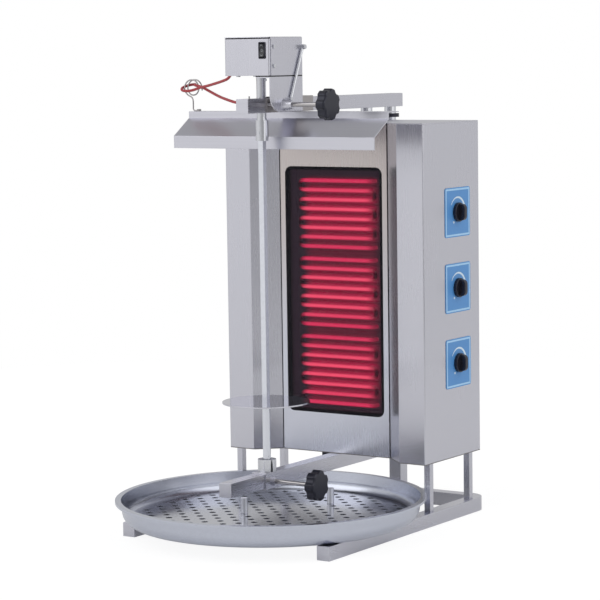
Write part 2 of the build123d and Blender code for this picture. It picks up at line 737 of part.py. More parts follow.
def hood():
    """Bent sheet with a hanging lip, a slope, an upright flange and a return under the arm."""
    line = [
        (HOOD_LIP_Y, HOOD_BASE_Z),
        (HOOD_LIP_Y, HOOD_BASE_Z + HOOD_LIP_HEIGHT),
        (HOOD_FLANGE_Y, UPPER_ARM_Z - HOOD_FLANGE),
        (HOOD_FLANGE_Y, UPPER_ARM_Z),
        (HOOD_FLANGE_Y + HOOD_RETURN, UPPER_ARM_Z),
    ]
    half_rise = (UPPER_ARM_Z - HOOD_FLANGE - HOOD_BASE_Z - HOOD_LIP_HEIGHT) / HOOD_SLOPE_DEPTH
    slope = sqrt(1 + half_rise ** 2)
    mitre = SHEET * (slope - half_rise)
    under = [
        (HOOD_FLANGE_Y + HOOD_RETURN, UPPER_ARM_Z - SHEET),
        (HOOD_FLANGE_Y + SHEET, UPPER_ARM_Z - SHEET),
        (HOOD_FLANGE_Y + SHEET, UPPER_ARM_Z - HOOD_FLANGE - mitre),
        (HOOD_LIP_Y + SHEET, HOOD_BASE_Z + HOOD_LIP_HEIGHT - mitre),
        (HOOD_LIP_Y + SHEET, HOOD_BASE_Z),
    ]
    profile = make_face(Polyline(*line, *under, close=True))
    sheet = slab_x(profile, -HOOD_WIDTH / 2, HOOD_WIDTH / 2)
    for y in hood_bolt_places():
        sheet -= rod_z(0, y, UPPER_ARM_Z - SHEET, UPPER_ARM_Z, HOOD_BOLT_R + RUNNING_GAP)
    return sheet


def frame_screws():
    """Bolts through the hood's return into the arm, the cable hook's screw and a stop pin on the arm."""
    bolts = []
    for y in hood_bolt_places():
        head = rod_z(0, y, UPPER_ARM_Z - SHEET - HOOD_BOLT_HEAD, UPPER_ARM_Z - SHEET, HOOD_BOLT_HEAD_R)
        bolts.append(head + rod_z(0, y, UPPER_ARM_Z - SHEET, UPPER_ARM_Z + TUBE_WALL, HOOD_BOLT_R))
    x = HOOK_X + 3.2 * HOOK_SCREW_R
    bolts.append(rod_z(x, hook_y(), UPPER_ARM_Z, UPPER_ARM_Z + HOOK_SCREW_R, HOOK_SCREW_R))
    x = TUBE / 2 - TUBE_WALL
    y = UPPER_ARM_FRONT_Y + STOP_PIN_INSET
    bolts.append(rod_z(x, y, UPPER_ARM_TOP_Z, UPPER_ARM_TOP_Z + STOP_PIN_HEIGHT, STOP_PIN_R))
    return group(bolts)


# Motor carriage


def motor_chassis():
    """Floor, front and rear of the motor box, with front flanges bent round the corners."""
    half = BOX_X - SHEET
    plan = Pos(0, BOX_FRONT_Y + FRONT_FLANGE / 2) * Rectangle(2 * half, FRONT_FLANGE)
    plan = fillet(plan.vertices().group_by(Axis.Y)[0], FRONT_BEND_R)
    hollow = Pos(0, BOX_FRONT_Y + SHEET + FRONT_FLANGE / 2) * Rectangle(2 * (half - SHEET), FRONT_FLANGE)
    lid_z = BOX_TOP_Z - SHEET
    chassis = slab_z(plan - hollow, BOX_BASE_Z, lid_z - LID_GAP)
    chassis += box(-half, half, BOX_FRONT_Y + FRONT_BEND_R, BOX_REAR_Y, BOX_BASE_Z, BOX_FLOOR_Z)
    chassis += box(-half, half, BOX_FRONT_Y + SHEET, BOX_FRONT_Y + FRONT_FLANGE, BOX_BASE_Z, BOX_FLOOR_Z)
    chassis += box(-half, half, BOX_REAR_Y - SHEET, BOX_REAR_Y, BOX_BASE_Z, lid_z)
    chassis -= rod_z(0, SPIT_Y, BOX_BASE_Z - 1, BOX_FLOOR_Z + 1, SLOT_HALF)
    opening = Pos(SWITCH_X, switch_z()) * Rectangle(SWITCH_WIDTH - SWITCH_RIM, SWITCH_HEIGHT - SWITCH_RIM)
    return chassis - slab_y(opening, BOX_FRONT_Y - 1, BOX_FRONT_Y + SHEET + 1)


def motor_cover():
    """Lid and two sides of the motor box, bent from one sheet."""
    front = BOX_FRONT_Y + COVER_SETBACK
    cover = box(-BOX_X, BOX_X, front, BOX_REAR_Y, BOX_BASE_Z, BOX_TOP_Z)
    cover = fillet(cover.edges().filter_by(Axis.Y).group_by(Axis.Z)[-1], COVER_BEND_R)
    lid = BOX_X - COVER_BEND_R
    cover += box(-lid, lid, BOX_FRONT_Y, front, BOX_TOP_Z - SHEET, BOX_TOP_Z)
    inner = BOX_X - SHEET
    return cover - box(-inner, inner, BOX_FRONT_Y - 1, BOX_REAR_Y + 1, BOX_BASE_Z - 1, BOX_TOP_Z - SHEET)


def motor_pad():
    """Rubber pad between the motor box and its bracket."""
    return box(BOX_X - BRACKET_FLANGE, BOX_X, BOX_FRONT_Y + COVER_SETBACK, BOX_REAR_Y, BRACKET_TOP_Z, BOX_BASE_Z)


def motor_bracket():
    """Flange under the box and the cheek that hangs from it, with the clamp boss."""
    base = UPPER_ARM_Z + CHEEK_CLEARANCE
    cheek = Pos((BOX_FRONT_Y + BOX_REAR_Y) / 2, (base + BRACKET_TOP_Z) / 2) * Rectangle(
        MOTOR_BOX_DEPTH, BRACKET_TOP_Z - base)
    corner = cheek.vertices().group_by(Axis.Y)[0].sort_by(Axis.X)[0]
    bracket = slab_x(fillet(corner, CHEEK_CORNER_R), CHEEK_X, BOX_X)
    bracket += box(BOX_X - BRACKET_FLANGE, BOX_X, BOX_FRONT_Y, BOX_REAR_Y,
                   BRACKET_TOP_Z - BRACKET_SHEET, BRACKET_TOP_Z)
    boss = Pos(BOX_X + BOSS_LENGTH / 2, SPIT_Y, CLAMP_Z) * Rot(0, 90, 0) * Cone(
        BOSS_R, BOSS_R * 0.7, BOSS_LENGTH)
    return bracket + boss - rod_x(CHEEK_X - 1, BOX_X + BOSS_LENGTH, SPIT_Y, CLAMP_Z, STUD_R + RUNNING_GAP)


def saddle():
    """Channel that rides on the upper arm, cut back round the drive shaft, with two spacers to the cheek."""
    rear = SPIT_Y + SADDLE_REAR
    low = UPPER_ARM_Z + SADDLE_SKIRT_GAP
    top = UPPER_ARM_TOP_Z + SADDLE_GAP
    channel = box(SADDLE_INNER_X, SADDLE_OUTER_X, SPIT_Y - SADDLE_RIGHT_FRONT, rear, low, top)
    channel += box(-SADDLE_OUTER_X, -SADDLE_INNER_X, SPIT_Y + SADDLE_LEFT_BEHIND, rear, low, top)
    channel += box(-SADDLE_OUTER_X, SADDLE_OUTER_X, SPIT_Y + SADDLE_LEFT_BEHIND, rear, top, top + SADDLE_WALL)
    channel += box(0, SADDLE_OUTER_X, SPIT_Y + SADDLE_TOP_BEHIND, rear, top, top + SADDLE_WALL)
    for y in SPACER_BEHIND:
        channel += rod_x(SADDLE_OUTER_X, CHEEK_X, SPIT_Y + y, CLAMP_Z, SPACER_R)
    return channel - rod_x(SADDLE_INNER_X - 1, SADDLE_OUTER_X + 1, SPIT_Y, CLAMP_Z, STUD_R + RUNNING_GAP)


def stay_rod():
    """Thin rod from beside the boss up to the rear of the motor box, with a lug at each end."""
    x = BOX_X + STAY_OUT
    foot = Vector(x, SPIT_Y + STAY_FOOT[0], CLAMP_Z + STAY_FOOT[1])
    head = Vector(x, stay_screw_y(), stay_screw_z())
    rod = swept(Line(foot, head), STAY_R)
    foot_lug = rod_x(BOX_X, x + STAY_LUG, foot.Y, foot.Z, STAY_EYE_R)
    head_lug = rod_x(BOX_X, x + STAY_LUG, head.Y, head.Z, STAY_EYE_R)
    return rod + foot_lug + head_lug


def stay_screw_y():
    """Depth of the screw that holds the stay's eye."""
    return BOX_REAR_Y - STAY_EYE_R / 2


def stay_screw_z():
    """Height of the screw that holds the stay's eye."""
    return BOX_TOP_Z - 4 * STAY_EYE_R


def cover_screws():
    """Screw heads on the cover, under the floor and over the stay's eye."""
    heads = []
    column = BOX_FRONT_Y + COVER_SETBACK + SCREW_HEAD_R + SCREW_INSET
    for z in (BOX_TOP_Z - MOTOR_BOX_HEIGHT / 4, BOX_BASE_Z + MOTOR_BOX_HEIGHT / 4):
        for side in (-1, 1):
            x0, x1 = sorted((side * BOX_X, side * (BOX_X + SCREW_HEAD)))
            heads.append(rod_x(x0, x1, column, z, SCREW_HEAD_R))
    for x in (-BOX_X / 2 - SCREW_HEAD_R, BOX_X / 6):
        heads.append(rod_z(x, BOX_FRONT_Y + FRONT_FLANGE, BOX_BASE_Z - SCREW_HEAD, BOX_BASE_Z, SCREW_HEAD_R))
    eye_face = BOX_X + STAY_OUT + STAY_LUG
    heads.append(rod_x(eye_face, eye_face + STAY_SCREW_HEAD, stay_screw_y(), stay_screw_z(), STAY_SCREW_R))
    return group(heads)


def gearbox():
    """Gearbox on the floor of the motor box, bored for the drive shaft."""
    width, depth, height = GEARBOX_SIZE
    case = box(-width / 2, width / 2, SPIT_Y - depth / 2, SPIT_Y + depth / 2, BOX_FLOOR_Z, BOX_FLOOR_Z + height)
    return case - rod_z(0, SPIT_Y, BOX_FLOOR_Z, BOX_FLOOR_Z + height / 2, SHAFT_R + RUNNING_GAP)


def motor():
    """Round motor on top of the gearbox, set back to clear the switch."""
    base = BOX_FLOOR_Z + GEARBOX_SIZE[2]
    y = SPIT_Y + MOTOR_BOX_DEPTH / 8
    return rod_z(0, y, base, base + MOTOR_HEIGHT, MOTOR_R)


def switch_z():
    """Height of the rocker switch."""
    return BOX_TOP_Z - SWITCH_DROP


def rocker_pivot_y():
    """Depth of the rocker's pin."""
    return BOX_FRONT_Y + ROCKER_PIVOT_DEPTH


def switch_well():
    """Opening inside the switch frame."""
    inset = 2 * SWITCH_RIM
    return Pos(SWITCH_X, switch_z()) * Rectangle(SWITCH_WIDTH - inset, SWITCH_HEIGHT - inset)


def switch_frame():
    """Bezel and body of the rocker switch."""
    place = Pos(SWITCH_X, switch_z())
    bezel = RectangleRounded(SWITCH_WIDTH, SWITCH_HEIGHT, SWITCH_RIM)
    frame = slab_y(place * bezel, BOX_FRONT_Y - SWITCH_BEZEL, BOX_FRONT_Y)
    body = SWITCH_RIM + 2 * RUNNING_GAP
    core = Rectangle(SWITCH_WIDTH - body, SWITCH_HEIGHT - body)
    frame += slab_y(place * core, BOX_FRONT_Y, BOX_FRONT_Y + SWITCH_BODY_DEPTH)
    well_floor = BOX_FRONT_Y + SWITCH_BODY_DEPTH - SWITCH_RIM
    frame -= slab_y(switch_well(), BOX_FRONT_Y - SWITCH_BEZEL, well_floor)
    half = SWITCH_WIDTH / 2 - SWITCH_RIM / 2 - 2 * RUNNING_GAP
    pin_hole = rod_x(SWITCH_X - half, SWITCH_X + half, rocker_pivot_y(), switch_z(), ROCKER_PIN_R + RUNNING_GAP)
    return frame - pin_hole


def motor_switch():
    """Rocker with two sloping halves and a pin on each side."""
    half_width = SWITCH_WIDTH / 2 - SWITCH_RIM - ROCKER_GAP
    half_height = SWITCH_HEIGHT / 2 - SWITCH_RIM - ROCKER_END_GAP
    face = BOX_FRONT_Y - SWITCH_BEZEL - ROCKER_PROUD
    back = rocker_pivot_y() + 2 * ROCKER_PIN_R
    valley = BOX_FRONT_Y - SWITCH_BEZEL / 2
    z = switch_z()
    corners = [(valley, z), (face, z + half_height), (back, z + half_height / 2), (back, z - half_height / 2),
               (face, z - half_height)]
    rocker = slab_x(make_face(Polyline(*corners, close=True)), SWITCH_X - half_width, SWITCH_X + half_width)
    reach = half_width + ROCKER_GAP + SWITCH_RIM / 4
    return rocker + rod_x(SWITCH_X - reach, SWITCH_X + reach, rocker_pivot_y(), z, ROCKER_PIN_R)


# Spit and drive


def drive_shaft():
    """Round shaft from the gearbox through the arm to the coupling, with a grub screw."""
    top = BOX_FLOOR_Z + GEARBOX_SIZE[2] / 2 - RUNNING_GAP
    shaft = rod_z(0, SPIT_Y, SHAFT_BASE_Z, top, SHAFT_R)
    grub_z = BOX_BASE_Z - 2 * SCREW_HEAD_R
    return shaft + rod_x(0, SHAFT_R + GRUB_R, SPIT_Y, grub_z, GRUB_R)


def spit_coupling():
    """Sleeve between the shaft and the spit, with a hooked cut that takes the spit sideways."""
    sleeve = rod_z(0, SPIT_Y, COUPLING_BASE_Z, COUPLING_TOP_Z, COUPLING_R)
    sleeve -= rod_z(0, SPIT_Y, SHAFT_BASE_Z, COUPLING_TOP_Z, SHAFT_R + RUNNING_GAP)
    sleeve -= rod_z(0, SPIT_Y, COUPLING_BASE_Z, SHAFT_BASE_Z - SPIT_TOP_GAP, spit_corner() + RUNNING_GAP)
    half = COUPLING_SLOT_WIDTH / 2
    front = SPIT_Y - COUPLING_R - 1
    top = COUPLING_BASE_Z + COUPLING_SLOT_HEIGHT
    sleeve -= box(-COUPLING_R, -COUPLING_R + 2 * half, front, SPIT_Y, COUPLING_BASE_Z, top)
    return sleeve - box(-COUPLING_R, half, front, SPIT_Y - spit_corner(), top - 2 * half, top)


def spit_corner():
    """Half the spit's diagonal."""
    return SPIT_SQUARE / 2 * sqrt(2)


def spit():
    """Square bar with a round foot that stands on the thrust bearing."""
    half = SPIT_SQUARE / 2
    bar = box(-half, half, SPIT_Y - half, SPIT_Y + half, FOOT_TOP_Z, SHAFT_BASE_Z - SPIT_TOP_GAP)
    foot = rod_z(0, SPIT_Y, CUP_TOP_Z + SPIT_FOOT_GAP, FOOT_TOP_Z, SPIT_FOOT_R)
    pivot = rod_z(0, SPIT_Y, BEARING_TOP_Z, CUP_TOP_Z + SPIT_FOOT_GAP, SPIT_PIVOT_R)
    return bar + foot + pivot


def meat_disc():
    """Round plate on the spit's foot, with a square hole that slides on the bar."""
    disc = rod_z(0, SPIT_Y, DISC_Z, DISC_Z + DISC_THICKNESS, DISC_R)
    half = SPIT_SQUARE / 2 + DISC_CLEARANCE
    return disc - box(-half, half, SPIT_Y - half, SPIT_Y + half, DISC_Z, DISC_Z + DISC_THICKNESS)


def lower_sleeve():
    """Square sleeve on the lower arm with a welded nut for the clamp stud."""
    y0 = SPIT_Y - SLEEVE_LENGTH / 2
    y1 = SPIT_Y + SLEEVE_LENGTH / 2
    low = LOWER_ARM_AXIS_Z - SLEEVE_OUTER
    sleeve = box(-SLEEVE_OUTER, SLEEVE_OUTER, y0, y1, low, CUP_BASE_Z)
    sleeve -= box(-SLEEVE_INNER, SLEEVE_INNER, y0, y1, low + SLEEVE_WALL, CUP_BASE_Z - SLEEVE_WALL)
    sleeve += rod_x(SLEEVE_OUTER, SLEEVE_OUTER + SLEEVE_NUT, SPIT_Y, LOWER_CLAMP_Z, SLEEVE_NUT_R)
    return sleeve - rod_x(SLEEVE_INNER - 1, SLEEVE_OUTER + SLEEVE_NUT, SPIT_Y, LOWER_CLAMP_Z,
                          STUD_R + RUNNING_GAP)


def spit_cup():
    """Round cup on the sleeve that guides the spit's foot."""
    cup = rod_z(0, SPIT_Y, CUP_BASE_Z, CUP_TOP_Z, CUP_R)
    return cup - rod_z(0, SPIT_Y, CUP_BASE_Z + CUP_FLOOR, CUP_TOP_Z, SPIT_FOOT_R)


def thrust_bearing():
    """Disc under the spit's pivot."""
    return rod_z(0, SPIT_Y, CUP_BASE_Z + CUP_FLOOR, BEARING_TOP_Z, SPIT_FOOT_R - RUNNING_GAP)


# Clamp knobs


def star_outline():
    """Round disc with scallops between its lobes."""
    disc = Circle(STAR_R)
    reach = STAR_R + STAR_SCALLOP_R - STAR_SCALLOP_DEPTH
    disc -= PolarLocations(reach, STAR_LOBES) * Circle(STAR_SCALLOP_R)
    return fillet(disc.vertices(), STAR_LOBE_R)


def clamp_stud(z, length):
    """Threaded stud from the arm's side out to its knob."""
    tip = TUBE / 2 + STUD_TIP_GAP
    return rod_x(tip, tip + length, SPIT_Y, z, STUD_R)


def star_knob(z, length):
    """Lobed hand knob on the end of a stud, with its hub towards the arm."""
    end = TUBE / 2 + STUD_TIP_GAP + length
    knob = slab_x(Pos(SPIT_Y, z) * star_outline(), end, end + STAR_THICKNESS)
    knob = fillet(knob.faces().sort_by(Axis.X)[-1].edges(), STAR_EDGE_R)
    hub = rod_x(end - STAR_HUB, end, SPIT_Y, z, STAR_HUB_R)
    return knob + hub - rod_x(end - STAR_HUB, end, SPIT_Y, z, STUD_R + RUNNING_GAP)


# Drip tray


def drip_tray():
    """Round pan with a rounded, flared wall and a flat lip turned down at its edge."""
    corner_z = TUBE + TRAY_CORNER_R
    inner_r = TRAY_CORNER_R - SHEET
    diagonal = cos(radians(45))
    lip_low = TRAY_RIM_Z - SHEET

    def at(r, z):
        return (r, 0, z)

    edges = [
        Line(at(0, TUBE), at(TRAY_FLAT_R, TUBE)),
        ThreePointArc(at(TRAY_FLAT_R, TUBE),
                      at(TRAY_FLAT_R + TRAY_CORNER_R * diagonal, corner_z - TRAY_CORNER_R * diagonal),
                      at(TRAY_CORNER_OUTER, corner_z)),
        Polyline(at(TRAY_CORNER_OUTER, corner_z), at(TRAY_WALL_R, lip_low), at(TRAY_R - SHEET, lip_low),
                 at(TRAY_R - SHEET, lip_low - TRAY_LIP_DROP), at(TRAY_R, lip_low - TRAY_LIP_DROP),
                 at(TRAY_R, TRAY_RIM_Z), at(TRAY_WALL_R - SHEET, TRAY_RIM_Z),
                 at(TRAY_CORNER_OUTER - SHEET, corner_z)),
        ThreePointArc(at(TRAY_CORNER_OUTER - SHEET, corner_z),
                      at(TRAY_FLAT_R + inner_r * diagonal, corner_z - inner_r * diagonal),
                      at(TRAY_FLAT_R, TRAY_FLOOR_Z)),
        Polyline(at(TRAY_FLAT_R, TRAY_FLOOR_Z), at(0, TRAY_FLOOR_Z), at(0, TUBE)),
    ]
    return Pos(0, TRAY_Y, 0) * revolve(make_face(edges), Axis.Z)


def perforated_plate():
    """Round plate of staggered holes on a supporting ring, with two lifting pegs."""
    limit = PLATE_R - PLATE_MARGIN
    rows = int(limit // (PLATE_HOLE_PITCH / 2))
    places = []
    for row in range(-rows, rows + 1):
        y = row * PLATE_HOLE_PITCH / 2 + PLATE_HOLE_SHIFT[1]
        shift = PLATE_HOLE_PITCH / 2 if row % 2 else 0.0
        columns = int(limit // PLATE_HOLE_PITCH)
        for column in range(-columns - 1, columns + 1):
            x = column * PLATE_HOLE_PITCH + shift + PLATE_HOLE_SHIFT[0]
            clear = all((x - px) ** 2 + (y - py) ** 2 > (PEG_R + PLATE_HOLE_R + 1) ** 2 for px, py in PEGS)
            if x * x + y * y < limit * limit and clear:
                places.append((x, y))
    face = Circle(PLATE_R) - Locations(*places) * Circle(PLATE_HOLE_R)
    plate = slab_z(face, PLATE_TOP_Z - SHEET, PLATE_TOP_Z)
    ring = PLATE_R - PLATE_RING_INSET
    plate += slab_z(Circle(ring) - Circle(ring - SHEET), TRAY_FLOOR_Z, PLATE_TOP_Z - SHEET)
    for x, y in PEGS:
        plate += rod_z(x, y, PLATE_TOP_Z, PLATE_TOP_Z + PEG_HEIGHT, PEG_R)
    return Pos(0, TRAY_Y, 0) * plate


# Cable hook and motor lead


def hook_y():
    """Depth of the hook's stem on the hood's return."""
    return HOOD_FLANGE_Y + 2 * HOOK_SCREW_R


def cable_hook():
    """Wire hook: a foot on the hood, a stem and a ring wound past one turn with its end on the right."""
    y = hook_y()
    z = UPPER_ARM_Z + HOOK_WIRE_R
    middle_x = HOOK_X + HOOK_RING_SHIFT
    middle_z = z + HOOK_STEM + HOOK_RING_R
    corner_r = HOOK_RING_R / cos(radians(180 / HOOK_POINTS_PER_TURN))
    step = 360 / HOOK_POINTS_PER_TURN
    points = [(HOOK_X + 2.2 * HOOK_SCREW_R, y, z), (HOOK_X, y, z), (HOOK_X, y, z + HOOK_STEM - HOOK_RING_R / 3)]
    for i in range(HOOK_RING_POINTS):
        angle = radians(-90 - step * (i + 0.5))
        advance = HOOK_RING_ADVANCE * (i + 1) / HOOK_POINTS_PER_TURN
        points.append((middle_x + corner_r * cos(angle), y + advance, middle_z + corner_r * sin(angle)))
    path = FilletPolyline(*points, radius=bend_radii(points))
    wire = swept(path, HOOK_WIRE_R)
    print(f"hook wire: volume over section times length {wire.volume / (path.length * Circle(HOOK_WIRE_R).area):.4f},",
          f"least gap between turns {HOOK_RING_ADVANCE - 2 * HOOK_WIRE_R:.2f} mm")
    return wire


def bend_radii(route):
    """Bend radius at each corner of a wire or lead: as large as its two runs allow."""
    points = [Vector(*p) for p in route]
    radii = []
    for before, here, after in zip(points, points[1:], points[2:]):
        turn = (here - before).get_angle(after - here)
        shorter = min((here - before).length, (after - here).length)
        radii.append(0.45 * shorter / tan(radians(turn / 2)))
    return radii


def motor_lead():
    """Red lead from the motor box, through the hook's ring and back to the upper arm."""
    radii = bend_radii(LEAD_ROUTE)
    path = FilletPolyline(*LEAD_ROUTE, radius=radii)
    lead = swept(path, LEAD_R)
    print("lead radii", [round(r, 1) for r in radii])
    print(f"lead length {path.length:.1f} mm, volume over section times length",
          f"{lead.volume / (path.length * Circle(LEAD_R).area):.4f}")
    return lead


TOP_Z, MIDDLE_Z, BOTTOM_Z = label_heights()
NODES = {
    "base_frame": base_frame(),
    "tube_caps": tube_caps(),
    "corner_posts": corner_posts(),
    "rear_leg": rear_leg(),
    "lower_arm": lower_arm(),
    "left_side_shell": side_shell(-1),
    "right_side_shell": side_shell(1),
    "heater_panel": heater_panel(),
    "top_plate": top_plate(),
    "bottom_plate": bottom_plate(),
    "back_panel": back_panel(),
    "rear_cover": rear_cover(),
    "heater_glass": heater_glass(),
    "glass_seal": glass_seal(),
    "insulation_block": insulation_block(),
    "heater_box": heater_box(),
    "heating_element_top": heating_element(1),
    "heating_element_middle": heating_element(0),
    "heating_element_bottom": heating_element(-1),
    "label_plates": label_plates(),
    "regulator_bodies": regulator_bodies(),
    "terminal_block": terminal_block(),
    "cable_gland": cable_gland(),
    "upper_arm": upper_arm(),
    "arm_posts": arm_posts(),
    "post_collars": post_collars(),
    "hood": hood(),
    "frame_screws": frame_screws(),
    "cable_hook": cable_hook(),
    "motor_lead": motor_lead(),
    "motor_chassis": motor_chassis(),
    "motor_cover": motor_cover(),
    "motor_pad": motor_pad(),
    "motor_bracket": motor_bracket(),
    "saddle": saddle(),
    "stay_rod": stay_rod(),
    "cover_screws": cover_screws(),
    "gearbox": gearbox(),
    "motor": motor(),
    "switch_frame": switch_frame(),
    "motor_switch": motor_switch(),
    "drive_shaft": drive_shaft(),
    "spit_coupling": spit_coupling(),
    "spit": spit(),
    "meat_disc": meat_disc(),
    "lower_sleeve": lower_sleeve(),
    "spit_cup": spit_cup(),
    "thrust_bearing": thrust_bearing(),
    "upper_clamp_stud": clamp_stud(CLAMP_Z, UPPER_STUD_LENGTH),
    "upper_star_knob": star_knob(CLAMP_Z, UPPER_STUD_LENGTH),
    "lower_clamp_stud": clamp_stud(LOWER_CLAMP_Z, LOWER_STUD_LENGTH),
    "lower_star_knob": star_knob(LOWER_CLAMP_Z, LOWER_STUD_LENGTH),
    "drip_tray": drip_tray(),
    "perforated_plate": perforated_plate(),
}
for name, z in (("top", TOP_Z), ("middle", MIDDLE_Z), ("bottom", BOTTOM_Z)):
    NODES[f"control_knob_{name}"] = control_knob(z)
    NODES[f"regulator_spindle_{name}"] = regulator_spindle(z)

os.makedirs("parts", exist_ok=True)
for name, shape in NODES.items():
    export_step(shape, f"parts/{name}.step")
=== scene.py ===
import math

import bpy
from mathutils import Matrix, Vector


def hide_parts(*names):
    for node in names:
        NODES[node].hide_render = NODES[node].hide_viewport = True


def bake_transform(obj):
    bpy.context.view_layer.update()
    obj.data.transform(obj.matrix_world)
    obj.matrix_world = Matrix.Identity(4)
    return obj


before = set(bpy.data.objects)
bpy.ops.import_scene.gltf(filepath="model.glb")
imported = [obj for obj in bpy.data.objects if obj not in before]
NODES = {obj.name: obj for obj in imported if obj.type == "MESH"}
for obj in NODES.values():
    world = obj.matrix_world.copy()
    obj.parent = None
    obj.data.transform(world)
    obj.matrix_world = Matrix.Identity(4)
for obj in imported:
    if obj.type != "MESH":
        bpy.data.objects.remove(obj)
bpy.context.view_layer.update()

# Camera: fitted to the grill's straight edges
YAW = math.radians(33.562)
PITCH = math.radians(5.878)
ROLL = math.radians(-0.814)
CAMERA_PLACE = (2.3706, -3.5573, 0.8518)
SENSOR_WIDTH = 36
LENS = 143.13
NEAR = 0.1
FAR = 60
level = math.cos(PITCH)
forward = Vector((-math.sin(YAW) * level, math.cos(YAW) * level, -math.sin(PITCH)))
right = Vector((math.cos(YAW), math.sin(YAW), 0))
up = right.cross(forward)
side = math.cos(ROLL) * right + math.sin(ROLL) * up
top = -math.sin(ROLL) * right + math.cos(ROLL) * up
camera = bpy.data.objects.new("camera", bpy.data.cameras.new("camera"))
camera.data.sensor_width = SENSOR_WIDTH
camera.data.lens = LENS
camera.data.clip_start = NEAR
camera.data.clip_end = FAR
camera.matrix_world = Matrix((
    (side.x, top.x, -forward.x, CAMERA_PLACE[0]),
    (side.y, top.y, -forward.y, CAMERA_PLACE[1]),
    (side.z, top.z, -forward.z, CAMERA_PLACE[2]),
    (0, 0, 0, 1),
))
bpy.context.scene.collection.objects.link(camera)
bpy.context.scene.camera = camera

# Motor lead
LEAD_R = 0.0025
LEAD_SIDES = 20
LEAD_STEPS = 12
LEAD_ROUTE = (
    (-0.0485, -0.107, 0.820), (-0.057, -0.107, 0.820), (-0.066, -0.103, 0.811), (-0.088, -0.090, 0.8065),
    (-0.120, -0.068, 0.802), (-0.152, -0.048, 0.7975), (-0.178, -0.035, 0.7945), (-0.194, -0.0285, 0.7905),
    (-0.210, -0.0255, 0.788), (-0.226, -0.023, 0.7885), (-0.237, -0.011, 0.793), (-0.234, 0.0045, 0.798),
    (-0.221, 0.0095, 0.800), (-0.2115, -0.001, 0.7995), (-0.2035, -0.016, 0.7985), (-0.184, -0.0195, 0.7955),
    (-0.158, -0.032, 0.7875), (-0.114, -0.064, 0.7785), (-0.072, -0.096, 0.773), (-0.044, -0.115, 0.7695),
    (-0.026, -0.122, 0.7685), (-0.0125, -0.122, 0.7685),
)


def spline_points(route):
    """Points along a smooth line that the route's points control."""
    curve = bpy.data.curves.new("route", "CURVE")
    curve.dimensions = "3D"
    spline = curve.splines.new("NURBS")
    spline.points.add(len(route) - 1)
    for point, place in zip(spline.points, route):
        point.co = (*place, 1)
    spline.order_u = 3
    spline.use_endpoint_u = True
    spline.resolution_u = LEAD_STEPS
    holder = bpy.data.objects.new("route", curve)
    bpy.context.scene.collection.objects.link(holder)
    bpy.context.view_layer.update()
    graph = bpy.context.evaluated_depsgraph_get()
    mesh = bpy.data.meshes.new_from_object(holder.evaluated_get(graph))
    points = [v.co.copy() for v in mesh.vertices]
    bpy.data.objects.remove(holder)
    return points


def tube_mesh(name, points, radius, sides):
    """Round tube along points, with closed ends."""
    tangents = [(b - a).normalized() for a, b in zip(points, points[1:])]
    between = [(a + b).normalized() for a, b in zip(tangents, tangents[1:])]
    tangents = [tangents[0], *between, tangents[-1]]
    normal = tangents[0].orthogonal().normalized()
    verts, faces = [], []
    for i, (point, tangent) in enumerate(zip(points, tangents)):
        normal = (normal - tangent * normal.dot(tangent)).normalized()
        across = tangent.cross(normal)
        for k in range(sides):
            angle = 2 * math.pi * k / sides
            verts.append(point + radius * (math.cos(angle) * normal + math.sin(angle) * across))
        if i:
            base = (i - 1) * sides
            for k in range(sides):
                after = (k + 1) % sides
                faces.append((base + k, base + after, base + sides + after, base + sides + k))
    faces.append(tuple(range(sides))[::-1])
    faces.append(tuple(range(len(verts) - sides, len(verts))))
    mesh = bpy.data.meshes.new(name)
    mesh.from_pydata(verts, [], faces)
    mesh.shade_smooth()
    return mesh


lead_points = spline_points(LEAD_ROUTE)
lead = bpy.data.objects.new("lead_sleeve", tube_mesh("lead_sleeve", lead_points, LEAD_R, LEAD_SIDES))
bpy.context.scene.collection.objects.link(lead)
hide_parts("motor_lead")
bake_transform(lead)


# Materials
def new_material(name):
    """New node material, its tree and its principled shader."""
    made = bpy.data.materials.new(name)
    made.use_nodes = True
    tree = made.node_tree
    shader = tree.nodes["Principled BSDF"]
    return made, tree, shader


def node(tree, kind, inputs=None, **settings):
    """Node of a kind with values or links for its inputs."""
    made = tree.nodes.new(kind)
    for key, value in settings.items():
        setattr(made, key, value)
    for key, value in (inputs or {}).items():
        if isinstance(value, bpy.types.NodeSocket):
            tree.links.new(value, made.inputs[key])
        else:
            made.inputs[key].default_value = value
    return made


def maths(tree, operation, first, second=0.0, third=0.0):
    """Output of a math node."""
    return node(tree, "ShaderNodeMath", {0: first, 1: second, 2: third}, operation=operation).outputs[0]


def mixed(tree, share, first, second):
    """Colour between two others."""
    return node(tree, "ShaderNodeMix", {0: share, 6: first, 7: second}, data_type="RGBA").outputs[2]


def shaded(tree, colour, shade):
    """Colour times a shade."""
    made = node(tree, "ShaderNodeMix", {0: 1.0, 6: colour, 7: shade}, data_type="RGBA", blend_type="MULTIPLY")
    return made.outputs[2]


def ramp(tree, value, low, high, first=0.0, last=1.0, curve="LINEAR"):
    """Value carried from one range to another and held at its ends."""
    inputs = {"Value": value, "From Min": low, "From Max": high, "To Min": first, "To Max": last}
    return node(tree, "ShaderNodeMapRange", inputs, interpolation_type=curve).outputs[0]


def within(tree, value, centre, half):
    """One where a value is within half a width of a centre, else nought."""
    return maths(tree, "LESS_THAN", maths(tree, "ABSOLUTE", maths(tree, "SUBTRACT", value, centre)), half)


def distance(tree, across, along):
    """Length of a step from its two parts."""
    squares = [maths(tree, "MULTIPLY", part, part) for part in (across, along)]
    return maths(tree, "SQRT", maths(tree, "ADD", *squares))


